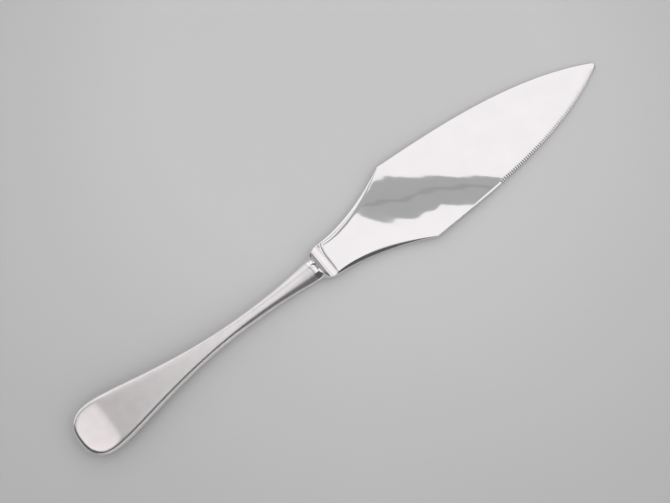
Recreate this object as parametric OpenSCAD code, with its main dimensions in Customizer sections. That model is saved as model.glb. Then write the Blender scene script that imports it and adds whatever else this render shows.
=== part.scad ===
// Cake knife with a hollow handle and a forged leaf blade.
// The knife lies as it rests on a table, on its collar and its tip: +X runs from butt to tip,
// +Z is up, the serrated edge faces -Y, and the origin is on the table under the knife's middle.

/* [Handle] */
// Length of the handle, from the butt to its mouth
handle_len = 113.5; // [100:0.1:140]
// Greatest width of the paddle near the butt
paddle_w = 22.2; // [18:0.1:28]
// Thickness of the paddle
paddle_t = 4.6; // [4:0.1:7]
// Distance from the butt's end to the widest place
paddle_round = 11.6; // [8:0.1:16]
// Length over which the butt's end rounds down in thickness
butt_nose = 2.4; // [1.5:0.1:5]
// Length over which the paddle thins towards the butt
butt_fall_len = 14; // [8:0.5:20]
// Fall of each face along that length, as drop over run
butt_fall = 0.06; // [0:0.005:0.07]
// Distance from the butt to the waist
waist_x = 80; // [60:0.5:88]
// Width of the waist
waist_w = 5.4; // [5:0.1:9]
// Thickness of the waist
waist_t = 4.0; // [3.8:0.1:8]
// Width of the mouth, where the collar of the blade meets the handle
mouth_w = 9.2; // [8.8:0.1:13]
// Thickness of the mouth
mouth_t = 5.4; // [5.2:0.1:10]
// Height of the upright edge round the handle
edge_t = 1.9; // [1:0.1:2.2]
// Wall of the stamped shells
shell_wall = 0.6; // [0.5:0.05:0.8]
// Film of braze between the two shells
seam_t = 0.2; // [0.1:0.05:0.4]

/* [Bolster] */
// Length of the polished collar in front of the mouth
collar_len = 2.2; // [1.5:0.1:4]
// How far the collar swells over the mouth at its middle
collar_crown = 0.1; // [0:0.05:0.3]
// Length of the scoop between the collar and the crest of the shoulder
scoop_len = 2.8; // [2:0.1:6]
// How steeply the scoop dives behind the collar's front edge
scoop_dive = 1.0; // [0.4:0.1:1.4]
// Width of the shoulder at its crest
shoulder_w = 13.4; // [12:0.1:16]
// Thickness of the shoulder at its crest
shoulder_t = 5.4; // [5:0.1:8]
// Length of the slope from the crest down into the blade
shoulder_len = 3.0; // [2:0.1:6]

/* [Blade] */
// Length of the blade, from the mouth of the handle to the tip
blade_len = 156.5; // [130:0.1:180]
// Greatest width of the blade, between its two corners
blade_w = 39.4; // [30:0.1:50]
// Distance from the mouth to the corners of the blade
corner_reach = 50.7; // [44:0.1:60]
// Width of the blade where it leaves the shoulder
heel_w = 14.2; // [13:0.1:17]
// Thickness where the blade leaves the shoulder
heel_t = 3.0; // [2.4:0.1:4]
// Thickness between the corners
corner_t = 1.5; // [1.2:0.1:2]
// Thickness at the tip
tip_t = 0.9; // [0.8:0.05:1.2]
// Width of the blunt end of the tip
tip_w = 1.0; // [0.6:0.1:2]
// Greatest width of the slanted edges between shoulder and corner
flank_bevel = 1.15; // [0.4:0.05:1.2]
// Small ease on the spine
spine_ease = 0.15; // [0.1:0.05:0.3]
// Width of the ground bevel along the cutting edge
cutting_bevel = 1.2; // [0.6:0.1:2]
// Thickness left at the cutting edge
cutting_edge_t = 0.5; // [0.3:0.05:0.8]

/* [Serration] */
// Distance from the mouth to the first gullet
serration_reach = 87.7; // [70:0.1:110]
// Spacing of the gullets along the edge
tooth_pitch = 1.0; // [0.8:0.05:2]
// Depth of a gullet at the middle of the edge
gullet_depth = 0.3; // [0.2:0.05:0.5]
// Radius of a gullet
gullet_r = 0.55; // [0.45:0.05:1.2]
// Lean of the gullets, which cut deeper in the upper face
gullet_lean = 45; // [0:1:50]

/* [Tang] */
// Length of the tang inside the handle
tang_len = 29; // [20:0.5:33]
// Width of the tang at its root
tang_root_w = 2.6; // [2.2:0.1:2.8]
// Width of the tang at its end
tang_end_w = 2.0; // [1.6:0.1:2.4]
// Thickness of the tang
tang_t = 1.4; // [1:0.1:1.5]
// Radius of the notches that key the tang in the cement
notch_r = 0.5; // [0.3:0.1:0.6]
// Diameter of the round boss at the tang's root
boss_d = 3.2; // [3:0.1:3.3]
// Length of that boss
boss_len = 3.0; // [2:0.1:5]
// Length of the cement, from the mouth inwards
cement_len = 40; // [36:0.5:50]

/* [Hidden] */
$fn = 32;

// Fullness of the domed sections: 2 is a parabola, more is a flat top with rounded sides
paddle_fullness = 13;
waist_fullness = 2.4;
mouth_fullness = 2;
shoulder_fullness = 4;
// Fullness of the butt's outline: 2 is an ellipse, more is a rounded rectangle
butt_fullness = 2.55;
// Radius with which the butt's fall eases into the paddle
butt_fall_ease = 1.5;
// How far the handle's curves hold their direction at paddle, waist and mouth
paddle_lead = 10.2;
waist_lead_back = 33.4;
waist_lead_front = 19.6;
mouth_lead = 8.6;
// Flare of the mouth's sides, as rise over run
mouth_flare_w = 0.1;
mouth_flare_t = 0.07;
// How far the blade's outline holds its direction, with its slope as rise over run
heel_lead = 16;
heel_slope = 0.02;
flank_lead = 14;
flank_slope = 0.495;
corner_lead = 30.2;
corner_slope = 0.04;
tip_lead = 32.4;
tip_slope = 0.529;
// Flare of the scoop's sides where they leave the collar and where they reach the shoulder
collar_flare = 0.4;
scoop_flare = 0.4;
// How gently the scoop rises to the crest
scoop_rise = 0.2;
// Height of the shoulder's upright sides
shoulder_edge_t = 2.2;
// The shoulder's sides turn in late: a higher power holds them longer
shoulder_hold = 5;
// How far the shoulder tucks in under the blade's skin
tuck = 0.5;
// Fall of the slanted flanks, as drop over width, and the power that sets where they are widest
flank_pitch = 0.65;
flank_skew = 0.63;
// Least height of a cavity's side, where the wall is thicker than the upright edge
least_edge = 0.3;
// Extra length of a solid that runs into its neighbour of the same piece
bite = 1.5;
// Gullets stop this far from the tip
tip_margin = 2;
// Steps of the curves
butt_steps = 12;
body_steps = 16;
mouth_steps = 10;
arc_steps = 20;
collar_steps = 4;
scoop_steps = 8;
shoulder_steps = 8;
heel_steps = 16;
leaf_steps = 30;
rule_steps = 120;

mouth_x = handle_len;
overall_len = handle_len + blade_len;
tip_x = overall_len;
corner_x = mouth_x + corner_reach;
crest_x = mouth_x + collar_len + scoop_len;
shoulder_end_x = crest_x + shoulder_len;
heel_x = shoulder_end_x - bite;
cavity_x = mouth_x - cement_len;
// Half thickness of each shell, measured from its own edge
paddle_h = (paddle_t - seam_t) / 2;
waist_h = (waist_t - seam_t) / 2;
mouth_h = (mouth_t - seam_t) / 2;
// Attitude on a table: the collar and the tip touch it
collar_x = mouth_x + collar_len / 2;
collar_h = mouth_t / 2 + collar_crown;
rest_tilt = atan((collar_h - tip_t / 2) / (tip_x - collar_x));
rest_lift = collar_x * sin(rest_tilt) + collar_h * cos(rest_tilt);

satin = [0.76, 0.75, 0.75];
mirror_polish = [0.90, 0.90, 0.91];
braze_colour = [0.74, 0.73, 0.70];
cement_colour = [0.52, 0.47, 0.42];

// Cubic curve through a and d that leaves along b and arrives along c
function curve(a, b, c, d, s) =
    pow(1 - s, 3) * a + 3 * s * pow(1 - s, 2) * b + 3 * s * s * (1 - s) * c + pow(s, 3) * d;
function mix(a, b, s) = a + (b - a) * s;
function ease(s) = s * s * (3 - 2 * s);
// Signed power that fills a sine or cosine out towards the sides of its box
function full(v, fullness) = sign(v) * pow(abs(v), 2 / fullness);

// A station is [x, half width, half height, fullness, edge height]. The handle's three stretches,
// each set in from the outer skin by the same amount.
function edge_of(inset) = max(least_edge, (edge_t - seam_t) / 2 - inset);
function fall_at(x) = let (run = butt_fall_len - x) butt_fall * (run + norm([run, butt_fall_ease])) / 2;
function butt_station(turn, inset) =
    let (x = paddle_round - (paddle_round - inset) * full(cos(turn), butt_fullness))
    let (half_w = (paddle_w / 2 - inset) * full(sin(turn), butt_fullness))
    let (drop = pow(1 - min(1, (x - inset) / butt_nose), 2))
    [x, half_w, mix(paddle_h - fall_at(x) - inset, edge_of(inset), drop), paddle_fullness, edge_of(inset)];
function body_station(s, inset) =
    let (x = curve(paddle_round, paddle_round + paddle_lead, waist_x - waist_lead_back, waist_x, s))
    let (half_w = curve(paddle_w / 2, paddle_w / 2, waist_w / 2, waist_w / 2, s) - inset)
    let (half_h = curve(paddle_h, paddle_h, waist_h, waist_h, s) - fall_at(x) - inset)
    [x, half_w, half_h, mix(paddle_fullness, waist_fullness, s), edge_of(inset)];
function mouth_station(s, inset) = [
    curve(waist_x, waist_x + waist_lead_front, mouth_x - mouth_lead, mouth_x, s),
    curve(waist_w / 2, waist_w / 2, mouth_w / 2 - mouth_lead * mouth_flare_w, mouth_w / 2, s) - inset,
    curve(waist_h, waist_h, mouth_h - mouth_lead * mouth_flare_t, mouth_h, s) - inset,
    mix(waist_fullness, mouth_fullness, s),
    edge_of(inset)];
// All stations of the handle's skin in front of the butt's end
function handle_stations(inset) = concat(
    [for (i = [1:butt_steps]) butt_station(90 * i / butt_steps, inset)],
    [for (i = [1:body_steps]) body_station(i / body_steps, inset)],
    [for (i = [1:mouth_steps]) mouth_station(i / mouth_steps, inset)]);

// Domed top of a station over the plane z = base, from +Y over the crown to -Y
function dome(st, base) = [for (j = [0:arc_steps])
    let (turn = 180 * j / arc_steps)
    [st[0], st[1] * full(cos(turn), st[3]), base + mix(st[4], st[2], pow(sin(turn), 2))]];
// The dome with the feet of its two upright edges
function arch(st, base) = concat([[st[0], st[1], base]], dome(st, base), [[st[0], -st[1], base]]);
// Closed section of a station: two domes back to back, parted by a gap
function ring(st, gap) = concat(dome(st, gap / 2), [for (p = dome(st, gap / 2)) [p[0], -p[1], -p[2]]]);

// Solid through a list of closed sections that all have the same number of points
module loft(sections) {
    n = len(sections[0]);
    last = len(sections) - 1;
    polyhedron(
        points = [for (section = sections) each section],
        faces = concat(
            [[for (j = [0:n - 1]) j]],
            [for (i = [0:last - 1], j = [0:n - 1])
                [i * n + j, (i + 1) * n + j, (i + 1) * n + (j + 1) % n, i * n + (j + 1) % n]],
            [[for (j = [n - 1:-1:0]) last * n + j]]),
        convexity = 6);
}

// Half shell: outer and inner skins, the rim on the seam plane and the ring at the mouth. Each skin
// starts at the upright line that ends the butt.
module half_shell() {
    outer = handle_stations(0);
    inner = handle_stations(shell_wall);
    rows = len(outer);
    row = arc_steps + 3;
    last = row - 1;
    base = seam_t / 2;
    in0 = 4 + rows * row;
    function out_at(i, j) = 4 + i * row + j;
    function in_at(i, j) = in0 + i * row + j;
    polyhedron(
        points = concat(
            [for (inset = [0, shell_wall], rise = [0, edge_of(inset)]) [inset, 0, base + rise]],
            [for (st = outer) each arch(st, base)],
            [for (st = inner) each arch(st, base)]),
        faces = concat(
            [for (j = [1:last - 2]) [1, out_at(0, j), out_at(0, j + 1)]],
            [for (j = [1:last - 2]) [3, in_at(0, j + 1), in_at(0, j)]],
            [[0, out_at(0, 0), out_at(0, 1), 1], [0, 1, out_at(0, last - 1), out_at(0, last)]],
            [[2, 3, in_at(0, 1), in_at(0, 0)], [2, in_at(0, last), in_at(0, last - 1), 3]],
            [for (i = [0:rows - 2], j = [0:last - 1])
                [out_at(i, j), out_at(i + 1, j), out_at(i + 1, j + 1), out_at(i, j + 1)]],
            [for (i = [0:rows - 2], j = [0:last - 1])
                [in_at(i, j), in_at(i, j + 1), in_at(i + 1, j + 1), in_at(i + 1, j)]],
            [for (i = [0:rows - 2])
                [out_at(i, 0), in_at(i, 0), in_at(i + 1, 0), out_at(i + 1, 0)]],
            [for (i = [0:rows - 2])
                [in_at(i, last), out_at(i, last), out_at(i + 1, last), in_at(i + 1, last)]],
            [[0, 2, in_at(0, 0), out_at(0, 0)], [2, 0, out_at(0, last), in_at(0, last)]],
            [for (j = [0:last - 1])
                [out_at(rows - 1, j), in_at(rows - 1, j), in_at(rows - 1, j + 1), out_at(rows - 1, j + 1)]]),
        convexity = 8);
}

// Plan outline of the handle's skin on the seam plane
module skin_outline(inset) {
    stations = handle_stations(inset);
    polygon(concat(
        [[inset, 0]],
        [for (st = stations) [st[0], st[1]]],
        [for (i = [len(stations) - 1:-1:0]) [stations[i][0], -stations[i][1]]]));
}

// Tang with its boss, set out along the knife's axis
module tang() {
    translate([0, 0, -tang_t / 2])
        linear_extrude(tang_t)
            difference() {
                polygon([
                    [mouth_x - tang_len, -tang_end_w / 2], [mouth_x + bite, -tang_root_w / 2],
                    [mouth_x + bite, tang_root_w / 2], [mouth_x - tang_len, tang_end_w / 2]]);
                for (k = [1, 2], side = [-1, 1]) {
                    along = (k + side / 4) / 3;
                    translate([
                        mouth_x - tang_len * along,
                        side * mix(tang_root_w, tang_end_w, along) / 2])
                        circle(notch_r);
                }
            }
    translate([mouth_x - boss_len, 0, 0])
        rotate([0, 90, 0])
            cylinder(d = boss_d, h = boss_len + bite);
}

// Collar, scoop and shoulder, lofted from the domed mouth to the flat blade
function collar_station(s) =
    let (swell = collar_crown * sin(180 * s))
    [mouth_x + collar_len * s, mouth_w / 2 + swell, mouth_t / 2 + swell, mouth_fullness, edge_t / 2];
function scoop_station(s) = [
    mouth_x + collar_len + scoop_len * s,
    curve(mouth_w / 2, mouth_w / 2 + scoop_len * collar_flare / 3,
        shoulder_w / 2 - scoop_len * scoop_flare / 3, shoulder_w / 2, s),
    curve(mouth_t / 2, mouth_t / 2 - scoop_dive, shoulder_t / 2 - scoop_rise, shoulder_t / 2, s),
    mix(mouth_fullness, shoulder_fullness, ease(s)),
    mix(edge_t, shoulder_edge_t, ease(s)) / 2];
function shoulder_station(s) = [
    crest_x + shoulder_len * s,
    mix(heel_w, shoulder_w, pow(1 - s, 2)) / 2 - tuck * pow(s, shoulder_hold),
    mix(shoulder_t / 2, plate_h(shoulder_end_x) - tuck, ease(s)),
    shoulder_fullness,
    mix(shoulder_edge_t / 2, plate_h(shoulder_end_x) - 2 * tuck, ease(s))];
module bolster() {
    stations = concat(
        [for (i = [0:collar_steps]) collar_station(i / collar_steps)],
        [for (i = [1:scoop_steps]) scoop_station(i / scoop_steps)],
        [for (i = [1:shoulder_steps]) shoulder_station(i / shoulder_steps)]);
    loft([for (st = stations) ring(st, 0)]);
}

// Half thickness of the blade: a straight taper on the leaf, swept up to the shoulder behind it
function taper_h(x) = mix(corner_t, tip_t, (x - corner_x) / (tip_x - corner_x)) / 2;
sweep_rise = (heel_t / 2 - taper_h(heel_x)) / pow(corner_x - heel_x, 2);
function plate_h(x) = taper_h(x) + sweep_rise * pow(max(0, corner_x - x), 2);

// Outline of one side of the blade as [x, half width]
function heel_point(s) = [
    curve(heel_x, heel_x + heel_lead, corner_x - flank_lead, corner_x, s),
    curve(heel_w / 2, heel_w / 2 + heel_lead * heel_slope,
        blade_w / 2 - flank_lead * flank_slope, blade_w / 2, s)];
function leaf_point(s) = [
    curve(corner_x, corner_x + corner_lead, tip_x - tip_lead, tip_x, s),
    curve(blade_w / 2, blade_w / 2 - corner_lead * corner_slope,
        tip_w / 2 + tip_lead * tip_slope, tip_w / 2, s)];
plate_outline = concat(
    [[crest_x, heel_w / 2 - bite]],
    [for (i = [0:heel_steps]) heel_point(i / heel_steps)],
    [for (i = [1:leaf_steps]) leaf_point(i / leaf_steps)]);

// Section of the blade blank at an outline point: slanted flanks behind the corners, an eased spine,
// and a ground cutting bevel on -Y. It stands a little over the faces that the taper then cuts flat.
skin_over = 0.2;
function flank_at(x) =
    let (along = max(0, min(1, (x - heel_x) / (corner_x - heel_x))))
    spine_ease + flank_bevel * sin(180 * pow(along, flank_skew));
function grind_at(x) =
    ease(max(0, min(1, (x - corner_x) / (mouth_x + serration_reach - corner_x))));
function blank_section(p) =
    let (x = p[0], w = p[1], h = plate_h(x), top = h + skin_over)
    let (flank = flank_at(x), land = h - flank * flank_pitch)
    let (cut_w = mix(flank, min(cutting_bevel, w / 2), grind_at(x)))
    let (cut_land = mix(land, cutting_edge_t / 2, grind_at(x)))
    let (cut_run = (top - cut_land) * cut_w / (h - cut_land))
    let (flank_run = (top - land) / flank_pitch)
    [[x, w, -land], [x, w, land], [x, w - flank_run, top], [x, -w + cut_run, top],
     [x, -w, cut_land], [x, -w, -cut_land], [x, -w + cut_run, -top], [x, w - flank_run, -top]];

// Side view of the blade, whose straight lines are the flat faces of the leaf
module taper_profile() {
    sweep = [for (i = [0:heel_steps]) mix(crest_x, corner_x, i / heel_steps)];
    upper = concat([for (x = sweep) [x, plate_h(x)]], [[tip_x, plate_h(tip_x)]]);
    polygon(concat(upper, [for (i = [len(upper) - 1:-1:0]) [upper[i][0], -upper[i][1]]]));
}

// Length along the leaf's edge against the curve's parameter, to space the gullets evenly
function edge_rule(i = 0, run = 0) =
    let (here = leaf_point(i / rule_steps))
    i == rule_steps ? [[run, 1]] :
    concat([[run, i / rule_steps]], edge_rule(i + 1, run + norm(leaf_point((i + 1) / rule_steps) - here)));
edge_table = edge_rule();
start_table = [for (row = edge_table) [leaf_point(row[1])[0], row[0]]];
serration_start = lookup(mouth_x + serration_reach, start_table);
edge_len = edge_table[rule_steps][0];
gullets = floor((edge_len - tip_margin - serration_start) / tooth_pitch);

// One gullet's cutter at parameter s of the cutting edge
module gullet(s) {
    step = 1 / rule_steps;
    at = leaf_point(s);
    along = leaf_point(min(1, s + step)) - leaf_point(max(0, s - step));
    outward = [-along[1], -along[0]] / norm(along);
    stand_off = gullet_r - gullet_depth;
    translate([at[0] + outward[0] * stand_off, -at[1] + outward[1] * stand_off, 0])
        rotate([0, -gullet_lean, atan2(outward[1], outward[0])])
            cylinder(r = gullet_r, h = 3 * corner_t, center = true, $fn = 24);
}

// Every second gullet, so that no two cutters of one pass meet
module ground(first) {
    difference() {
        children();
        for (k = [first:2:gullets])
            gullet(lookup(serration_start + k * tooth_pitch, edge_table));
    }
}

module leaf_blade() {
    ground(1)
        ground(0)
            intersection() {
                loft([for (p = plate_outline) blank_section(p)]);
                translate([0, blade_w, 0])
                    rotate([90, 0, 0])
                        linear_extrude(2 * blade_w)
                            taper_profile();
            }
}

// The knife's place on the table
module laid() {
    translate([-overall_len * cos(rest_tilt) / 2, 0, rest_lift])
        rotate([0, rest_tilt, 0])
            children();
}

module blade() {
    color(mirror_polish)
        laid() {
            leaf_blade();
            bolster();
            tang();
        }
}

module upper_handle_shell() {
    color(satin)
        laid()
            half_shell();
}

module lower_handle_shell() {
    color(satin)
        laid()
            rotate([180, 0, 0])
                half_shell();
}

module seam_braze() {
    color(braze_colour)
        laid()
            translate([0, 0, -seam_t / 2])
                linear_extrude(seam_t)
                    difference() {
                        skin_outline(0);
                        skin_outline(shell_wall);
                    }
}

module tang_cement() {
    color(cement_colour)
        laid()
            difference() {
                loft([for (st = handle_stations(shell_wall)) if (st[0] > paddle_round) ring(st, seam_t)]);
                translate([0, -paddle_w, -paddle_t])
                    cube([cavity_x, 2 * paddle_w, 2 * paddle_t]);
                tang();
            }
}

blade();
upper_handle_shell();
lower_handle_shell();
seam_braze();
tang_cement();
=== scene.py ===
# %% [markdown]
# A cake knife from the frame outwards
#
# The knife is a hollow-handled table tool: a mirror-polished blade forged in one piece with its bolster,
# and a satin handle pressed as two half shells. The construction gives five solids in one frame. This
# lesson keeps that frame and lays finer skins over the solids, each worked out with numpy as a surface of
# two parameters, so that the polished steel has smooth curves to mirror.

import math

import bmesh
import bpy
import numpy as np
from mathutils import Matrix


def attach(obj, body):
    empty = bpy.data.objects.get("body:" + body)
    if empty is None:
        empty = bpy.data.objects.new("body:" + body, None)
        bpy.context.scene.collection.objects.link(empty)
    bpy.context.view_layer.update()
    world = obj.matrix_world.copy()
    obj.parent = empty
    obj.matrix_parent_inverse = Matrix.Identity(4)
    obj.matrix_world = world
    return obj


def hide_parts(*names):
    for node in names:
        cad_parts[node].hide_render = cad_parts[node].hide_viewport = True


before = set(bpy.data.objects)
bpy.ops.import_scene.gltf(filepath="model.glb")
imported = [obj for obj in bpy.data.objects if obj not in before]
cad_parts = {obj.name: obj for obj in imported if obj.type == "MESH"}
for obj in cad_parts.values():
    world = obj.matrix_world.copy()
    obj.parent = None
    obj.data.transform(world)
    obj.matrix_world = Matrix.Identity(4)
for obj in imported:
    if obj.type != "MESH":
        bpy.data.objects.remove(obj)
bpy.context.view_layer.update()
print("nodes:", sorted(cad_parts))

# %% [markdown]
# The knife's own axis
#
# Every skin is set out along the knife in millimetres, X from the butt to the tip, the way a cutler would
# draw it. On a table the knife touches at its collar and at its tip, so the drawing is tipped by a small
# angle and lifted. Each finished mesh could be turned and moved as an object instead, but then its points
# would no longer be in the frame. One function lays the points and turns millimetres into the frame's
# metres. The lengths are the construction's own.

# %% Lay the drawing in the frame
MM = 0.001
handle_len = 113.5
blade_len = 156.5
tip_x = handle_len + blade_len
collar_len = 2.2
collar_crown = 0.1
mouth_t = 5.4
tip_t = 0.9
collar_x = handle_len + collar_len / 2
collar_h = mouth_t / 2 + collar_crown
rest_tilt = math.atan((collar_h - tip_t / 2) / (tip_x - collar_x))
rest_lift = collar_x * math.sin(rest_tilt) + collar_h * math.cos(rest_tilt)


def lay(points):
    """Tips points [x, y, z] of the drawing about Y, tip down, lifts them onto the table, gives metres."""
    x, y, z = points[..., 0], points[..., 1], points[..., 2]
    c, s = math.cos(rest_tilt), math.sin(rest_tilt)
    laid_x = x * c + z * s - tip_x * c / 2
    laid_z = z * c - x * s + rest_lift
    return np.stack([laid_x, y, laid_z], -1) * MM


print("tilt %.2f degrees, lift %.2f mm" % (math.degrees(rest_tilt), rest_lift))

# %% [markdown]
# From a grid to a mesh
#
# A surface of two parameters is an array of points, rows by columns. Its faces join each point with its
# neighbours, so they too can be written as whole arrays of indices. Where a row shrinks to one point, as at
# the butt, merging doubles turns the squares into a closed fan of triangles.

# %% Mesh helpers
merge_dist, sliver_dist = 1e-7, 1e-8


def faces_of(rows, columns, around):
    """Squares of a grid: point (i, j) with (i, j+1), (i+1, j+1), (i+1, j); around joins the last column
    to the first."""
    i, j = np.meshgrid(np.arange(rows - 1), np.arange(columns if around else columns - 1), indexing="ij")
    here, beside = i * columns + j, i * columns + (j + 1) % columns
    return np.stack([here, beside, beside + columns, here + columns], -1).reshape(-1, 4)


def make_piece(name, grids, sharp_degrees=35, values=None):
    """One object from grids of laid points, each given as (points, around). Doubles are merged, normals
    turned outwards, and edges sharper than the angle stay crisp. values is a number per point, kept as
    the attribute level."""
    points = np.concatenate([grid.reshape(-1, 3) for grid, _ in grids])
    starts = np.cumsum([0] + [grid[..., 0].size for grid, _ in grids])
    faces = np.concatenate([
        faces_of(grid.shape[0], grid.shape[1], around) + start
        for (grid, around), start in zip(grids, starts)])
    mesh = bpy.data.meshes.new(name)
    mesh.from_pydata(points.tolist(), [], faces.tolist())
    if values is not None:
        level = mesh.attributes.new("level", "FLOAT", "POINT")
        level.data.foreach_set("value", values.reshape(-1).astype(np.float32))
    work = bmesh.new()
    work.from_mesh(mesh)
    bmesh.ops.remove_doubles(work, verts=work.verts, dist=merge_dist)
    bmesh.ops.dissolve_degenerate(work, edges=work.edges, dist=sliver_dist)
    bmesh.ops.recalc_face_normals(work, faces=work.faces)
    work.to_mesh(mesh)
    work.free()
    mesh.polygons.foreach_set("use_smooth", np.ones(len(mesh.polygons), bool))
    mesh.set_sharp_from_angle(angle=math.radians(sharp_degrees))
    piece = bpy.data.objects.new(name, mesh)
    bpy.context.scene.collection.objects.link(piece)
    print("%s: %d points, %d faces" % (name, len(mesh.vertices), len(mesh.polygons)))
    return piece


print("points closer than %g m are merged" % merge_dist)

# %% [markdown]
# Curves and blends
#
# A cutler draws a handle with a few French curves. Here a cubic curve does that work: two end points, and
# two more that say how it leaves and arrives. A curve object could show the same line, but a formula can be
# read at any place along the knife, for a width as well as for a height, and takes a whole array at once.

# %% Curves
def curve(a, b, c, d, s):
    """Cubic curve from a to d that leaves towards b and arrives from c."""
    return (1 - s) ** 3 * a + 3 * s * (1 - s) ** 2 * b + 3 * s**2 * (1 - s) * c + s**3 * d


def mix(a, b, s):
    """Straight blend from a to b."""
    return a + (b - a) * s


def ease(s):
    """Blend factor that starts and ends level."""
    s = np.clip(s, 0, 1)
    return s * s * (3 - 2 * s)


def filled(v, fullness):
    """Signed power that fills an ellipse's sine or cosine out to a rounded box."""
    return np.sign(v) * np.abs(v) ** (2 / fullness)


print("an eased blend, a quarter of the way: %.3f" % ease(0.25))

# %% [markdown]
# The handle's line
#
# Seen from above the handle is a paddle with a round butt, a slim waist and a mouth that flares to meet the
# bolster. From the side it is slim, and thickest at the mouth. One function gives, for any place along it,
# the half width, the half height and how flat the top is. A lathe could not make this, and a box with
# subdivision would only come near it: three smooth curves carried along the axis give it exactly.

# %% Handle stations
paddle_w = 22.4
paddle_t = 4.6
paddle_round = 11.6
rim_out = 0.25
butt_fall_len, butt_fall, butt_fall_ease = 14.0, 0.06, 1.5
waist_x = 80.0
waist_w = 5.6
waist_t = 4.0
mouth_w = 9.2
edge_t = 1.1
seam_t = 0.2
shell_wall = 0.6
least_edge = 0.3
nose_fullness, paddle_fullness, waist_fullness, mouth_fullness = 22.0, 13.0, 2.4, 2.0
butt_fullness = 2.55
paddle_lead, waist_lead_back, waist_lead_front, mouth_lead = 10.2, 33.4, 19.6, 8.6
mouth_flare_w, mouth_flare_t = 0.1, 0.07
paddle_h, waist_h, mouth_h = [(t - seam_t) / 2 for t in (paddle_t, waist_t, mouth_t)]


def edge_of(inset):
    """Height of the dome's foot over the seam, for a skin set in by inset."""
    return max(least_edge, (edge_t - seam_t) / 2 - inset)


def fall_at(x):
    """How far the paddle's face has fallen towards the butt: a straight slope with an eased start."""
    run = butt_fall_len - x
    return butt_fall * (run + np.hypot(run, butt_fall_ease)) / 2


def handle_stations(inset, butt_rows=60, body_rows=110, mouth_rows=70):
    """Stations x, half width, half height, fullness and nose from the butt's end to the mouth, set in from
    the dome's foot by inset. The butt's outline is a superellipse, the rest are cubic curves. nose is the
    share of the way round the butt, 1 at its end and 0 from the paddle on."""
    turn = np.linspace(0, np.pi / 2, butt_rows)
    butt_x = paddle_round - (paddle_round - rim_out - inset) * filled(np.cos(turn), butt_fullness)
    butt_w = (paddle_w / 2 - inset) * filled(np.sin(turn), butt_fullness)
    butt_h = paddle_h - fall_at(butt_x) - inset
    s = np.linspace(0, 1, body_rows)[1:]
    body_x = curve(paddle_round, paddle_round + paddle_lead, waist_x - waist_lead_back, waist_x, s)
    body_w = curve(paddle_w / 2, paddle_w / 2, waist_w / 2, waist_w / 2, s) - inset
    body_h = curve(paddle_h, paddle_h, waist_h, waist_h, s) - fall_at(body_x) - inset
    r = np.linspace(0, 1, mouth_rows)[1:]
    end_x = curve(waist_x, waist_x + waist_lead_front, handle_len - mouth_lead, handle_len, r)
    flared_w = mouth_w / 2 - mouth_lead * mouth_flare_w
    flared_h = mouth_h - mouth_lead * mouth_flare_t
    end_w = curve(waist_w / 2, waist_w / 2, flared_w, mouth_w / 2, r) - inset
    end_h = curve(waist_h, waist_h, flared_h, mouth_h, r) - inset
    fullness = np.concatenate([
        mix(nose_fullness, paddle_fullness, ease(turn / turn[-1])),
        mix(paddle_fullness, waist_fullness, s),
        mix(waist_fullness, mouth_fullness, r)])
    return (
        np.concatenate([butt_x, body_x, end_x]),
        np.concatenate([butt_w, body_w, end_w]),
        np.concatenate([butt_h, body_h, end_h]),
        fullness,
        np.concatenate([np.cos(turn) ** 2, 0 * body_x, 0 * end_x]))


print("handle stations:", len(handle_stations(0)[0]))

# %% [markdown]
# Two half shells
#
# On the real knife each half is stamped from sheet steel, so it has an outside, an inside and a thickness.
# The surface therefore runs along the outside from the butt to the mouth, rolls over a small lip, and comes
# back along the inside. Across, it is a dome on a low rim: height 1 - |t|^n over the half width, a parabola
# where n is 2 and a flat top with rolled sides where n is 13 or more. A small round joins the dome to the
# rim, which was ground to a slant and catches a line of light. Two narrow strips close the shell on the
# seam plane. A surface with a Solidify modifier would also have a wall, but no rolled lip. The lower shell
# is the same surface turned half round the axis.

# %% Rolled lip
lip_r = 0.2
lip_rows = 6


def lip_stations(rows):
    """Quarter round from the outer skin to the mouth's ring: x = end - r + r sin, inset = r - r cos."""
    turn = np.linspace(0, np.pi / 2, rows)
    x = handle_len - lip_r + lip_r * np.sin(turn)
    inset = lip_r - lip_r * np.cos(turn)
    back = x - handle_len
    half_w = mouth_w / 2 + mouth_flare_w * back - inset
    half_h = mouth_h + mouth_flare_t * back - inset
    return x, half_w, half_h, np.full(rows, mouth_fullness), np.zeros(rows)


print("lip ends at half width %.2f mm" % lip_stations(lip_rows)[1][-1])

# %% Half section
dome_columns = 121
dome_crowding = 1.8
edge_roll = 0.12
roll_columns = 5
most_roll, most_drop = 0.3, 0.6
least_w = 1e-6


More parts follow.
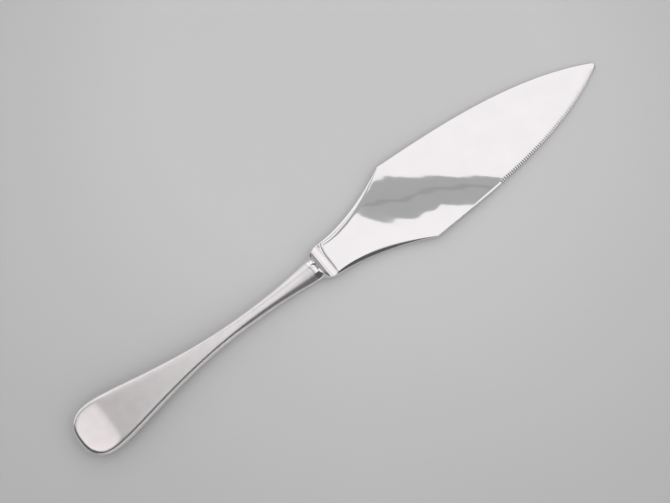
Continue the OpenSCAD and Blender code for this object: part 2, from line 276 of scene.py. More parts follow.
def arch(stations, foot, edge):
    """Half section over each station, from +Y over the top to -Y, standing on the seam's upper face. The
    dome is edge + (height - edge)(1 - q^n) with q^m = nose + (1 - nose)|t|^m, so q is |t| along the handle
    and the butt's own superellipse at its end. A quadratic curve rolls it over into the rim, which slants
    out to foot, the stations x and half width on the seam."""
    x, half_w, half_h, fullness, nose = [column[:, None] for column in stations]
    spread = np.linspace(-1, 1, dome_columns)[None, :]
    roll = np.minimum(edge_roll, most_roll * half_w)
    drop = np.minimum(roll, most_drop * edge)
    flat = 1 - roll / np.maximum(half_w, least_w)
    t = -np.sign(spread) * (1 - (1 - np.abs(spread)) ** dome_crowding) * flat
    y = half_w * t
    outline = nose + (1 - nose) * np.abs(t) ** butt_fullness
    z = edge + (half_h - edge) * (1 - outline ** (fullness / butt_fullness))
    s = np.linspace(0, 1, roll_columns)[None, 1:]
    roll_y = mix(mix(y[:, :1], half_w, s), half_w, s)
    roll_z = mix(mix(z[:, :1], edge, s), mix(edge, edge - drop, s), s)
    foot_x, foot_y = foot[0][:, None], foot[1][:, None]
    foot_z = np.zeros_like(foot_y)
    y = np.concatenate([foot_y, roll_y[:, ::-1], y, -roll_y, -foot_y], 1)
    z = np.concatenate([foot_z, roll_z[:, ::-1], z, roll_z, foot_z], 1) + seam_t / 2
    x = np.concatenate([foot_x, np.broadcast_to(x, (len(x), y.shape[1] - 2)), foot_x], 1)
    return np.stack([x, y, z], -1)


print("half section: %d points" % (dome_columns + 2 * roll_columns))

# %% Half shells
def half_shell(turned):
    """Skin out and back as one grid, with the two rims. turned is +1 for the upper, -1 for the lower."""
    behind_lip = handle_stations(0)[0] < handle_len - lip_r
    outer = [column[behind_lip] for column in handle_stations(0)]
    rim = [column[behind_lip] for column in handle_stations(-rim_out)]
    lip = lip_stations(lip_rows)
    inner = handle_stations(shell_wall)
    foot = np.concatenate([rim[0], lip[0]]), np.concatenate([rim[1], lip[1] + rim_out])
    out_path = arch([np.concatenate(pair) for pair in zip(outer, lip)], foot, edge_of(0))
    in_path = arch(inner, inner, edge_of(shell_wall))[::-1]
    skin = np.concatenate([out_path, in_path])
    rims = []
    for side in (0, -1):
        outer_edge, inner_edge = out_path[:, side], in_path[::-1, side]
        steps = np.linspace(0, 1, max(len(outer_edge), len(inner_edge)))
        pick_out = np.round(steps * (len(outer_edge) - 1)).astype(int)
        pick_in = np.round(steps * (len(inner_edge) - 1)).astype(int)
        rims.append(np.stack([outer_edge[pick_out], inner_edge[pick_in]], 1))
    about_axis = np.array([1, turned, turned])
    return [(lay(grid * about_axis), False) for grid in [skin] + rims]


upper_shell = make_piece("upper_shell", half_shell(1))
lower_shell = make_piece("lower_shell", half_shell(-1))

# %% [markdown]
# The direction of the grain
#
# Satin strokes run along the handle, so light spreads across them more than along them. A shader needs to
# know which way that is. Unwrapping by hand would do, but a map with one axis around the handle and the
# other along it can be read straight off each corner's place on the drawing.

# %% Grain map
grain_axis_drop = 0.5
MM_PER_CM = 10


def add_grain_map(piece, turned):
    """Map named grain: U is the angle around a line a little under the axis, arctan of y over the height
    above it, and V is x, in cm."""
    mesh = piece.data
    corners = np.empty(len(mesh.loops), np.int32)
    mesh.loops.foreach_get("vertex_index", corners)
    points = np.empty(len(mesh.vertices) * 3)
    mesh.vertices.foreach_get("co", points)
    x, y, z = points.reshape(-1, 3)[corners].T / MM
    c, s = math.cos(rest_tilt), math.sin(rest_tilt)
    height_over_axis = (z - rest_lift) * c + (x + tip_x * c / 2) * s
    around = np.arctan2(y, grain_axis_drop + turned * height_over_axis)
    grain = np.stack([around, x / MM_PER_CM], -1)
    mesh.uv_layers.new(name="grain").data.foreach_set("uv", grain.reshape(-1))


add_grain_map(upper_shell, 1)
add_grain_map(lower_shell, -1)
print("grain map on", upper_shell.name, "and", lower_shell.name)

# %% [markdown]
# The seam between the shells
#
# The halves are joined by a film of braze that is ground flush, so on the finished handle it can hardly be
# found. A curve with a bevel profile could follow the outline, but its corners would drift from the shells'
# edges. Here four corners of a small upright rectangle are carried from one side of the mouth round the
# butt to the other, on the very stations that the shells stand on.

# %% Seam ribbon
def seam_ribbon():
    """Rectangle between the outlines at the skin and at the wall's inside, carried round the outline."""
    rails = []
    for inset in (-rim_out, shell_wall):
        x, half_w = handle_stations(inset)[:2]
        side = np.stack([x, half_w], -1)
        rails.append(np.concatenate([side[::-1], side[1:] * [1, -1]]))
    corners = [(rails[0], 1), (rails[0], -1), (rails[1], -1), (rails[1], 1)]
    loop = np.stack([
        np.concatenate([rail, np.full((len(rail), 1), up * seam_t / 2)], 1) for rail, up in corners], 1)
    ends = [loop[k][[[0, 1], [3, 2]]] for k in (0, -1)]
    return [(lay(loop), True)] + [(lay(end), False) for end in ends]


seam_film = make_piece("seam_film", seam_ribbon())

# %% [markdown]
# The tang inside the handle
#
# A short notched tang with a round boss runs back from the bolster into the handle, where cement grips it.
# It never shows, but a reader who hides the shells should find it. A filed bar could be cut from a box by
# booleans. A boxy superellipse whose two sides are drawn in by round notches gives the same in one surface,
# and a row at each end is shrunk to the axis to close it.

# %% Tang
tang_len = 29.0
tang_root_w, tang_end_w, tang_t = 2.6, 2.0, 1.4
notch_r, notch_shift = 0.5, 0.25
boss_r, boss_len = 1.6, 3.0
boss_step = 0.9
bar_fullness, boss_fullness = 9.0, 2.0
bite = 1.5


def section_point(turn, fullness):
    """Unit superellipse in the direction turn: the ray (cos, sin) ends where |cos|^n + |sin|^n = 1."""
    c, s = np.cos(turn), np.sin(turn)
    reach = (np.abs(c) ** fullness + np.abs(s) ** fullness) ** (-1 / fullness)
    return reach * c, reach * s


def notched(x, side):
    """Half width of the tang on one side: a straight taper less two round notches of radius notch_r, near
    its thirds, which stand a little apart on the two sides."""
    taper = mix(tang_root_w, tang_end_w, (handle_len - x) / tang_len) / 2
    for k in (1, 2):
        centre = handle_len - tang_len * (k + side * notch_shift) / 3
        depth = np.sqrt(np.clip(notch_r**2 - (x - centre) ** 2, 0, None))
        taper = taper - depth
    return taper


def tang_surface(columns=48, bar_rows=160):
    """Superellipse sections along the axis; the flat bar is nearly a rectangle and the boss a circle."""
    bar_x = np.linspace(handle_len - tang_len, handle_len - boss_len, bar_rows)
    boss_x = np.array([handle_len - boss_len, handle_len - boss_len, handle_len + bite, handle_len + bite])
    grow = np.array([boss_step, 1, 1, 0])
    x = np.concatenate([bar_x[:1], bar_x, boss_x])[:, None]
    left = np.concatenate([[0], notched(bar_x, 1), boss_r * grow])[:, None]
    right = np.concatenate([[0], notched(bar_x, -1), boss_r * grow])[:, None]
    high = np.concatenate([[0], np.full(bar_rows, tang_t / 2), boss_r * grow])[:, None]
    fullness = np.repeat([bar_fullness, boss_fullness], [bar_rows + 1, len(grow)])[:, None]
    across, up = section_point(np.linspace(0, 2 * np.pi, columns, endpoint=False)[None, :], fullness)
    y, z = np.where(across > 0, left, right) * across, high * up
    return lay(np.stack([np.broadcast_to(x, y.shape), y, z], -1))


tang = make_piece("tang", [(tang_surface(), True)])

# %% [markdown]
# The forged blade: its lines
#
# Collar, scoop, shoulder and leaf are one forging, so they are one skin here. Its plan is given by the half
# width along the axis: collar, scoop and shoulder behind, and in front two cubic curves that meet at the
# corners. Its height is given by formulas too: a bolster that dips behind its shoulder, and a plate. The
# higher of the two counts, by a smooth maximum, so a small fillet runs along the heel. Sculpting could
# reach this shape, but a mirror shows every dent of a sculpted surface.

# %% Blade sizes
scoop_len, shoulder_len = 2.8, 3.0
blade_w, corner_reach = 39.9, 50.7
heel_w, heel_t, corner_t, tip_w = 15.2, 3.0, 1.5, 1.6
scoop_x = handle_len + collar_len
crest_x = scoop_x + scoop_len
shoulder_end_x = crest_x + shoulder_len
heel_x = shoulder_end_x - bite
corner_x = handle_len + corner_reach


def taper_h(x):
    """Half thickness of the leaf: a straight taper from the corners to the tip."""
    return mix(corner_t, tip_t, (x - corner_x) / (tip_x - corner_x)) / 2


def plate_h(x):
    """The taper, swept up behind the corners by a parabola that reaches heel_t at the heel."""
    rise = (heel_t / 2 - taper_h(heel_x)) / (corner_x - heel_x) ** 2
    return taper_h(x) + rise * np.clip(corner_x - x, 0, None) ** 2


print("leaf at its corners: %.2f mm thick" % (2 * taper_h(corner_x)))

# %% Bolster lines
collar_flare, scoop_flare = 0.4, 0.4
hollow_fall, hollow_rise, hollow_run, hollow_turn = 0.5, 0.36, 2.6, 1.2
shoulder_w, shoulder_hold = 13.6, 5
shoulder_rise, lift_len = 0.35, 1.2
crown_t, crown_round, drop_start, drop_end = 4.0, 0.15, 7.9, 10.2
heel_sweep, heel_sweep_power = 1.7, 2
tuck = 0.5
least_shoulder_edge = 0.1
foot_x = handle_len + drop_end


def smooth_max(a, b, reach):
    """The larger of a and b, rounded where they differ by less than reach."""
    near = np.clip(reach - np.abs(a - b), 0, None)
    return np.maximum(a, b) + near**2 / (4 * reach)


def smooth_min(a, b, reach):
    """The smaller of a and b, rounded where they differ by less than reach."""
    return -smooth_max(-a, -b, reach)


def bolster_lines(x, t=0.0):
    """Half width, half thickness and edge height of collar, scoop and shoulder at x. The scoop falls
    straight, turns by a parabola and rises to the shoulder. The drop to the leaf starts later towards the
    far end, at t = 1, and so sweeps into the far flank."""
    on_collar = np.clip((x - handle_len) / collar_len, 0, 1)
    on_scoop = np.clip((x - scoop_x) / scoop_len, 0, 1)
    on_shoulder = np.clip((x - crest_x) / shoulder_len, 0, 1)
    swell = collar_crown * np.sin(np.pi * on_collar)
    leave = mouth_w / 2 + scoop_len * collar_flare / 3
    arrive = shoulder_w / 2 - scoop_len * scoop_flare / 3
    half_w = curve(mouth_w / 2, leave, arrive, shoulder_w / 2, on_scoop) + swell
    half_w = half_w + (heel_w - shoulder_w) / 2 * (1 - (1 - on_shoulder) ** 2)
    half_w = half_w - tuck * on_shoulder**shoulder_hold
    run = np.clip(x - scoop_x, 0, None)
    past = np.clip(run - hollow_run, 0, None)
    turned = np.where(past < hollow_turn, past**2 / (2 * hollow_turn), past - hollow_turn / 2)
    half_t = mouth_t / 2 - hollow_fall * run + (hollow_fall + hollow_rise) * turned
    half_t = np.where(run > hollow_run, smooth_min(half_t, crown_t / 2, crown_round), half_t) + swell
    late = heel_sweep * np.clip(t, 0, 1) ** heel_sweep_power
    dropped = ease((x - late - handle_len - drop_start) / (drop_end - drop_start))
    half_t = half_t + (plate_h(foot_x) - tuck - crown_t / 2) * dropped
    edge = half_t - mix((mouth_t - edge_t) / 2, shoulder_rise, ease((x - scoop_x) / lift_len))
    return half_w, half_t, np.maximum(edge, least_shoulder_edge)


print("bolster at the end of its fall: %.2f mm thick" % (2 * bolster_lines(scoop_x + hollow_run)[1]))

# %% Plan of the leaf
heel_lead, heel_slope, flank_lead, flank_slope = 16.0, 0.02, 14.0, 0.495
corner_lead, corner_slope, tip_lead, tip_slope = 30.2, 0.04, 32.4, 0.529
line_points = 2001
line_s = np.linspace(0, 1, line_points)
heel_line_x = curve(heel_x, heel_x + heel_lead, corner_x - flank_lead, corner_x, line_s)
heel_leave = heel_w / 2 + heel_lead * heel_slope
flank_arrive = blade_w / 2 - flank_lead * flank_slope
heel_line_w = curve(heel_w / 2, heel_leave, flank_arrive, blade_w / 2, line_s)
leaf_line_x = curve(corner_x, corner_x + corner_lead, tip_x - tip_lead, tip_x, line_s)
corner_leave = blade_w / 2 - corner_lead * corner_slope
tip_arrive = tip_w / 2 + tip_lead * tip_slope
leaf_line_w = curve(blade_w / 2, corner_leave, tip_arrive, tip_w / 2, line_s)
plate_line_x = np.concatenate([[crest_x], heel_line_x, leaf_line_x[1:]])
plate_line_w = np.concatenate([[heel_w / 2 - bite], heel_line_w, leaf_line_w[1:]])


def plate_w(x):
    """Half width of the plate, read off its two cubic lines."""
    return np.interp(x, plate_line_x, plate_line_w)


print("corner half width %.2f mm at x %.1f" % (plate_w(corner_x), corner_x))

# %% [markdown]
# The forged blade: its height
#
# The faces are flat, the flanks behind the corners slant down to the edges and their arris is polished
# round, the spine is only eased, and the near edge is ground to a cutting bevel. A Bevel modifier cuts one
# width all along, and these widths change. So each bevel is a slanting surface, and the lowest one counts,
# by a smooth minimum. Hand polishing leaves the faces a few thousandths of a millimetre wavy, which nobody
# feels but everybody sees: the mirrored lights get wavy borders. That ripple is in the surface itself.

# %% Bevels
flank_skew = 0.63
far_flank, far_pitch = 1.15, 0.65
near_flank, near_pitch = 1.7, 0.53
spine_ease = 0.15
upper_bevel, upper_pitch = 0.45, 0.31
lower_bevel, cutting_edge_t = 1.2, 0.5
serration_reach = 87.7
least_land = 0.05


def flank_hump(x):
    """0 at the heel and at the corner, 1 where the flank's bevel is widest."""
    along = np.clip((x - heel_x) / (corner_x - heel_x), 0, 1)
    return np.sin(np.pi * along**flank_skew)


def flank_at(x, widest=far_flank):
    """Width of a flank's bevel: pointed at the heel, widest a third of the way to the corner."""
    return spine_ease + widest * flank_hump(x)


def grind_at(x):
    """How far the flank has turned into the cutting bevel: 0 at the corner, 1 where teeth begin."""
    return ease((x - corner_x) / (handle_len + serration_reach - corner_x))


def cutting_width(x, up):
    """Width of the near bevel on the upper or lower side, at most half of the blade's half width."""
    ground_w = np.minimum(upper_bevel if up > 0 else lower_bevel, plate_w(x) / 2)
    return mix(flank_at(x, near_flank), ground_w, grind_at(x))


def cutting_land(x, up):
    """Half thickness left at the near edge on that side."""
    ground_land = plate_h(x) - upper_bevel * upper_pitch if up > 0 else cutting_edge_t / 2
    flank_land = plate_h(x) - flank_at(x, near_flank) * near_pitch
    return np.maximum(mix(flank_land, ground_land, grind_at(x)), least_land)


print("near bevel at the corner: %.2f mm wide" % cutting_width(corner_x, 1))

# %% Height of each side
near_arris, far_arris, keen_arris = 0.3, 0.6, 0.05
heel_fillet = 0.3
edge_round, keen_round, most_round = 0.12, 0.01, 0.5
least_height, out_of_reach = 0.02, -1.0
ease_off_w, ease_off_bend, ease_off_run = 3.0, 0.02, 20.0
ripple_margin, ripple_start = 3.6, 6.0
ripple_waves = (
    (0.003, 0.16, 0.09, 0.4), (0.003, 0.09, -0.17, 1.9), (0.003, 0.23, 0.19, 3.1),
    (0.0008, 0.9, 0.6, 0.0), (0.0007, 0.7, -1.1, 2.2))


def ripple(x, y):
    """Polisher's waviness: a sum of slow sines, each with its size in mm, its radians per mm along x and
    along y, and its start."""
    return sum(size * np.sin(p * x + q * y + start) for size, p, q, start in ripple_waves)


def side_height(x, y, up):
    """Height of one side's skin over the axis plane at (x, y): smooth minimum of the face and the two
    bevels, joined to the bolster's dome by a smooth maximum."""
    half_w, face, flank = plate_w(x), plate_h(x), flank_at(x)
    from_edge = half_w - np.abs(y)
    waviness = ease(from_edge / ripple_margin) * ease((x - foot_x) / ripple_start)
    face_here = face + ripple(x, y) * waviness
    eased = np.where(y > 0, ease((corner_x - x) / ease_off_run), flank_hump(x))
    face_here = face_here - ease_off_bend / 2 * np.clip(ease_off_w - from_edge, 0, None) ** 2 * eased
    far_bevel = face + far_pitch * (half_w - y - flank)
    slope = (face - cutting_land(x, up)) / cutting_width(x, up)
    near_bevel = cutting_land(x, up) + (half_w + y) * slope
    arris = mix(near_arris * flank, keen_arris, grind_at(x))
    plate = smooth_min(smooth_min(face_here, far_bevel, far_arris * flank), near_bevel, arris)
    dome_w = bolster_lines(x)[0]
    _, dome_t, edge = bolster_lines(x, y / dome_w)
    dome = edge + (dome_t - edge) * (1 - np.abs(y / dome_w) ** mouth_fullness)
    rim = edge * (1 - (np.abs(y) - dome_w) / rim_out)
    plate = mix(out_of_reach, plate, ease((x - crest_x) / shoulder_len))
    dome = np.where(np.abs(y) > dome_w, rim, dome)
    dome = np.where(x > foot_x + heel_sweep, out_of_reach, dome)
    return np.clip(smooth_max(plate, dome, heel_fillet), least_height, None)


def rim_drop(from_edge, height, radius):
    """Quarter round that takes the rim's corner off: r - sqrt(r^2 - (r - d)^2) within r of the edge."""
    radius = np.minimum(radius, most_round * height)
    inside = np.clip(radius - from_edge, 0, None)
    return radius - np.sqrt(np.clip(radius**2 - inside**2, 0, None))


print("half thickness at the leaf's foot: %.2f mm" % side_height(np.array(foot_x), np.array(0.0), 1))

# %% [markdown]
# The forged blade: its teeth
#
# The front half of the near edge is ground with a row of fine gullets a little over a millimetre apart,
# each a round cut that leans so that it bites deeper on the upper side. Cutting dozens of cylinders away
# would leave a ragged mesh. A gullet only moves the edge inwards by a known depth, so the grid's outer
# columns move by that depth along the edge's normal, with ten rows of points to a tooth.

# %% Gullets along the edge
tooth_pitch = 1.12
gullet_depth, gullet_r, gullet_lean = 0.5, 0.4, math.radians(41)
tip_margin = 2.0
gullet_rows = gullet_r * np.array([-1.25, -1.02, -0.99, -0.8, -0.45, 0, 0.45, 0.8, 0.99, 1.02])
leaf_run = np.concatenate([[0], np.cumsum(np.hypot(np.diff(leaf_line_x), np.diff(leaf_line_w)))])
serration_run = np.interp(handle_len + serration_reach, leaf_line_x, leaf_run)
gullet_count = math.floor((leaf_run[-1] - tip_margin - serration_run) / tooth_pitch)


def gullet_depths(x):
    """Depth of the cut on the upper and the lower side: the round cutter's reach at that offset from the
    gullet's middle, moved by its lean where the cutter meets each bevel."""
    run = np.interp(x, leaf_line_x, leaf_run) - serration_run
    offset = run - np.clip(np.round(run / tooth_pitch), 0, gullet_count) * tooth_pitch
    inside = np.abs(offset) < gullet_r
    reach = np.sqrt(np.clip(gullet_r**2 - offset**2, 0, None)) / math.cos(gullet_lean)
    reach = reach - (gullet_r - gullet_depth)
    lean = math.tan(gullet_lean)
    depths = []
    for up in (1, -1):
        land = cutting_land(x, up)
        slope = up * lean * (plate_h(x) - land) / cutting_width(x, up)
        depths.append(np.minimum((reach + up * land * lean) / (1 - slope), reach + up * plate_h(x) * lean))
    return [np.where(inside, np.clip(depth, 0, None), 0) for depth in depths]


print("gullets:", gullet_count + 1)

# %% [markdown]
# The forged blade: its skin
#
# Now the parts come together. An even grid would waste its points on the flat faces. Here rows are spread
# along the blade where detail needs them: close in the bolster, closer still along the teeth. Across, the
# columns crowd towards the two edges so that the bevels and their arrises get several each. The row of
# points at the collar's back and the row at the tip shrink to the axis and close the skin.

# %% Rows along the blade
collar_round = 0.2
tip_round, tip_gap = 0.5, 0.1
back_rows, front_rows = 6, 8
collar_rows, scoop_rows, shoulder_rows, heel_rows, corner_rows = 14, 30, 70, 64, 44


def skin_rows():
    """Places along the axis, the trim that rounds off the collar's back, r - r sin, and the share of the
    full section, a cosine, that rounds off the tip."""
    back = np.linspace(0, np.pi / 2, back_rows)
    teeth_run = (np.arange(gullet_count + 2)[:, None] * tooth_pitch + gullet_rows).reshape(-1)
    teeth_x = np.interp(serration_run + teeth_run, leaf_run, leaf_line_x)
    teeth_x = teeth_x[teeth_x < tip_x - tip_round - tip_gap]
    front = np.linspace(0, np.pi / 2, front_rows)
    x = np.concatenate([
        handle_len + collar_round * (1 - np.cos(back)),
        np.linspace(handle_len + collar_round, scoop_x, collar_rows)[1:],
        np.linspace(scoop_x, crest_x, scoop_rows)[1:],
        np.linspace(crest_x, foot_x + heel_sweep, shoulder_rows)[1:],
        np.linspace(foot_x + heel_sweep, corner_x, heel_rows)[1:],
        np.linspace(corner_x, teeth_x[0], corner_rows)[1:-1],
        teeth_x,
        tip_x - tip_round + tip_round * np.sin(front)])
    trim = np.concatenate([collar_round * (1 - np.sin(back)), np.zeros(len(x) - back_rows)])
    share = np.concatenate([np.ones(len(x) - front_rows), np.cos(front)])
    return x, trim, share


print("rows along the blade:", len(skin_rows()[0]))

# %% Forged skin
bolster_band = 1.12
outline_fillet = 0.15
widest_band = 1 / 3
ground_reach = 0.41
forging_sharp = 30
edge_spread = np.array([0, .002, .01, .03, .08, .2, .4, .65, .85, .95, 1, 1.05, 1.15, 1.4, 1.8, 2.4])
middle_columns = 20


def forged_skin():
    """Closed grid: the upper side from the far edge to the near one, then the lower side back. Gives the
    laid points and how far each belongs to the ground cutting bevel."""
    x, trim, share = [row[:, None] for row in skin_rows()]
    to_plate = ease((x - crest_x) / shoulder_len)
    bolster_w = bolster_lines(x)[0] + rim_out * (1 - ease((x - scoop_x) / lift_len))
    bolster_w = np.where(x > shoulder_end_x, 0, bolster_w)
    half_w = smooth_max(bolster_w, np.where(x < crest_x, 0, plate_w(x)), outline_fillet)
    far_band = np.minimum(mix(bolster_band, flank_at(x), to_plate), half_w * widest_band)
    near_band = mix(flank_at(x, near_flank), lower_bevel, grind_at(x))
    near_band = np.minimum(mix(bolster_band, near_band, to_plate), half_w * widest_band)
    far_y = half_w - far_band * edge_spread
    near_y = -half_w + near_band * edge_spread
    between = np.linspace(0, 1, middle_columns + 2)[1:-1]
    middle_y = mix(far_y[:, -1:], near_y[:, -1:], between)
    y = np.concatenate([far_y, middle_y, near_y[:, ::-1]], 1)
    fade = np.concatenate([
        np.zeros(len(edge_spread) + middle_columns), (1 - edge_spread / edge_spread[-1])[::-1]])
    slope = np.gradient(half_w[:, 0], x[:, 0])[:, None]
    inward = np.stack([slope, np.ones_like(slope)], -1) / np.hypot(slope, 1)[..., None]
    rim_radius = np.where(y < 0, mix(edge_round, keen_round, grind_at(x)), edge_round)
    sides = []
    for depth, up in zip(gullet_depths(x), (1, -1)):
        place_x = x + depth * inward[..., 0] * fade
        place_y = y + depth * inward[..., 1] * fade
        height = side_height(place_x, place_y, up)
        height = height - rim_drop(half_w - np.abs(y), height, rim_radius)
        shrink = share * (1 - trim / bolster_lines(x)[1])
        sides.append(np.stack([place_x, place_y * shrink, up * height * shrink], -1))
    skin = np.concatenate([sides[0], sides[1][:, ::-1]], 1)
    ground = np.broadcast_to(fade > 1 - ground_reach / edge_spread[-1], y.shape) * grind_at(x)
    ends = [np.broadcast_to([[[end, 0, 0]]], (1, skin.shape[1], 3)) for end in (handle_len, tip_x)]
    grid = np.concatenate([ends[0], skin, ends[1]])
    ground = np.concatenate([ground, ground[:, ::-1]], 1)
    ground = np.concatenate([ground[:1] * 0, ground, ground[-1:] * 0])
    return lay(grid), ground


blade_points, blade_ground = forged_skin()
forging = make_piece("forging", [(blade_points, True)], forging_sharp, blade_ground)

# %% [markdown]
# Tools for the finishes
#
# Blade and handle are the same kind of metal with different last strokes. Painted pictures could carry such
# strokes, but a procedural finish stays sharp at any distance. Each is a small net of nodes, so a few
# helpers add a node, link it, and turn noise into a tint or a roughness. Everything reads Object
# coordinates, in metres, so a scale of 1000 is a pattern of about a millimetre.

# %% Node helpers
ramp_stops = (0.3, 0.7)


def new_material(name, **shader):
    """Material with a principled shader whose plain sockets are set by name."""
    material = bpy.data.materials.new(name)
    material.use_nodes = True
    principled = material.node_tree.nodes["Principled BSDF"]
    for socket, value in shader.items():
        principled.inputs[socket.replace("_", " ")].default_value = value
    return material, principled


def add_node(material, kind, inputs=(), links=(), **settings):
    """Node of that kind with its settings, plain inputs by name and links from other outputs."""
    node = material.node_tree.nodes.new(kind)
    for key, value in settings.items():
        setattr(node, key, value)
    for socket, value in dict(inputs).items():
        node.inputs[socket].default_value = value
    for socket, output in dict(links).items():
        material.node_tree.links.new(output, node.inputs[socket])
    return node


def link(material, output, target):
    """Joins an output to an input socket."""
    material.node_tree.links.new(output, target)


def noise_at(material, scale, stretch=(1, 1, 1), detail=3.0):
    """Noise in Object coordinates, stretched by a Mapping node; gives its factor output."""
    coordinates = add_node(material, "ShaderNodeTexCoord")
    place = {"Vector": coordinates.outputs["Object"]}
    mapping = add_node(material, "ShaderNodeMapping", {"Scale": stretch}, place)
    stretched = {"Vector": mapping.outputs["Vector"]}
    noise = add_node(material, "ShaderNodeTexNoise", {"Scale": scale, "Detail": detail}, stretched)
    return noise.outputs["Fac"]


def spread_to(material, factor, low, high):
    """Maps a factor from 0..1 to low..high."""
    ranged = add_node(material, "ShaderNodeMapRange", {"To Min": low, "To Max": high}, {"Value": factor})
    return ranged.outputs["Result"]


def tint(material, factor, dark, light):
    """Colour between two tints, straight over the middle of the factor's range."""
    ramp = add_node(material, "ShaderNodeValToRGB", links={"Fac": factor})
    for stop, position, colour in zip(ramp.color_ramp.elements, ramp_stops, (dark, light)):
        stop.position = position
        stop.color = (*colour, 1)
    return ramp.outputs["Color"]


print("a tint runs over the factor from %.1f to %.1f" % ramp_stops)

# %% [markdown]
# Mirror steel
#
# The blade was polished on a buffing wheel. That is a metallic shader with hardly any roughness, and a
# single number would do for it. What makes it read as real is what is not perfect: a faint haze that
# varies, fine wiping marks, and a duller bevel where the cutting edge came off the stone. The blade's own
# attribute, level, says where that bevel is.

# %% Mirror steel
polish_dim, polish_light = (0.90, 0.90, 0.905), (0.93, 0.93, 0.935)


def make_mirror_steel():
    """Polished cutlery steel: slow haze, fine wiping marks, and a ground look on the cutting bevel."""
    material, shader = new_material("mirror_steel", Metallic=1.0)
    haze = noise_at(material, 90.0)
    link(material, tint(material, haze, polish_dim, polish_light), shader.inputs["Base Color"])
    polish = spread_to(material, haze, 0.015, 0.03)
    ground = add_node(material, "ShaderNodeAttribute", attribute_name="level").outputs["Fac"]
    stones = noise_at(material, 2500.0, (1.0, 0.15, 0.15), 2.0)
    grind = spread_to(material, stones, 0.10, 0.22)
    finish = add_node(material, "ShaderNodeMix", links={"Factor": ground, "A": polish, "B": grind})
    link(material, finish.outputs["Result"], shader.inputs["Roughness"])
    wiping = noise_at(material, 700.0, (0.25, 1.0, 1.0), 4.0)
    bump = add_node(material, "ShaderNodeBump", {"Strength": 0.002, "Distance": 0.0001}, {"Height": wiping})
    link(material, bump.outputs["Normal"], shader.inputs["Normal"])
    return material


mirror_steel = make_mirror_steel()
print("mirror steel:", len(mirror_steel.node_tree.nodes), "nodes")

# %% [markdown]
# Satin steel and braze
#
# The handle was blasted and brushed, so its highlights are wide and soft and a very fine grain runs along
# it. More roughness alone would blur light the same way in all directions. An anisotropic shader, turned by
# the grain map, spreads it across the strokes as the real finish does. The film of braze got the same
# strokes on a duller metal.

# %% Satin steel and braze
def make_satin(name, dark, light, rough_low, rough_high):
    """Satin metal: soft cloudiness in tint and roughness, light spread across the grain map's strokes, and
    a fine grain along the handle as bump."""
    material, shader = new_material(name, Metallic=1.0, Anisotropic=0.7)
    strokes = add_node(material, "ShaderNodeTangent", direction_type="UV_MAP", uv_map="grain")
    link(material, strokes.outputs["Tangent"], shader.inputs["Tangent"])
    cloud = noise_at(material, 260.0)
    link(material, tint(material, cloud, dark, light), shader.inputs["Base Color"])
    grain = noise_at(material, 9000.0, (0.12, 1.0, 1.0), 2.0)
    link(material, spread_to(material, grain, rough_low, rough_high), shader.inputs["Roughness"])
    bump = add_node(material, "ShaderNodeBump", {"Strength": 0.05, "Distance": 0.00005}, {"Height": grain})
    link(material, bump.outputs["Normal"], shader.inputs["Normal"])
    return material


satin_steel = make_satin("satin_steel", (0.85, 0.84, 0.84), (0.89, 0.88, 0.88), 0.22, 0.27)
seam_braze = make_satin("seam_braze", (0.67, 0.66, 0.64), (0.71, 0.70, 0.68), 0.24, 0.32)
print("satin finishes:", satin_steel.name, "and", seam_braze.name)

# %% [markdown]
# Cement
#
# The cement inside the handle is a cast, gritty, brown-grey filler. Nobody sees it, and the construction's
# own solid already has its shape, so no new surface is made: that node stays and only gets this finish.

# %% Cement
grit_dark, grit_light = (0.30, 0.26, 0.22), (0.47, 0.42, 0.36)


def make_cement():
    """Dry cast filler: two browns in coarse grit, matt, with a pitted bump."""
    material, shader = new_material("cement", Roughness=0.9)
    grit = noise_at(material, 1400.0, detail=6.0)
    link(material, tint(material, grit, grit_dark, grit_light), shader.inputs["Base Color"])
    bump = add_node(material, "ShaderNodeBump", {"Strength": 0.4, "Distance": 0.0003}, {"Height": grit})
    link(material, bump.outputs["Normal"], shader.inputs["Normal"])
    return material


cement = make_cement()
print("cement:", len(cement.node_tree.nodes), "nodes")

# %% [markdown]
# Dressing the frame
#
# Each skin names the construction node that it stands for and the slot of the record that its finish comes
# from, and it rides on the knife's one body. The tang is part of the forging, so both stand for the blade.
# One list of the pieces keeps these ties together.

# %% Ride and replace
dressing = (
    (forging, "blade", "mirror_steel", mirror_steel),
    (tang, "blade", "mirror_steel", mirror_steel),
    (upper_shell, "upper_handle_shell", "satin_steel", satin_steel),
    (lower_shell, "lower_handle_shell", "satin_steel", satin_steel),
    (seam_film, "seam_braze", "braze", seam_braze))
for piece, node, slot, finish in dressing:
    piece.data.materials.append(finish)
    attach(piece, "root")
    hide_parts(node)
cement_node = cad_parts["tang_cement"]
cement_node.data.materials.clear()
cement_node.data.materials.append(cement)
print("dressed", len(dressing), "pieces and the cement")

# %% [markdown]
# The camera
#
# The photograph looks down steeply from the butt's near side with a short telephoto lens. The camera could
# be moved by eye until the outlines agree, but the heading, height and distance can be solved from the
# knife's outline. Three unit vectors, to the right, up and back towards the camera, place it, and the cards
# of light below reuse them.

# %% Camera
picture_width = 670
focal_pixels = 1288.9
heading, height = math.radians(38.465), math.radians(68.92)
distance = 0.5306
aim = np.array([-0.00766, 0.00188, 0.0])
ahead = np.array([math.sin(heading), math.cos(heading), 0])
to_right = np.array([ahead[1], -ahead[0], 0])
upward = np.array([0, 0, 1.0])
backward = upward * math.sin(height) - ahead * math.cos(height)


def turned_to(right, up, back):
    """Rotation whose columns are the right, up and back vectors."""
    return Matrix(np.stack([right, up, back], 1).tolist()).to_euler()


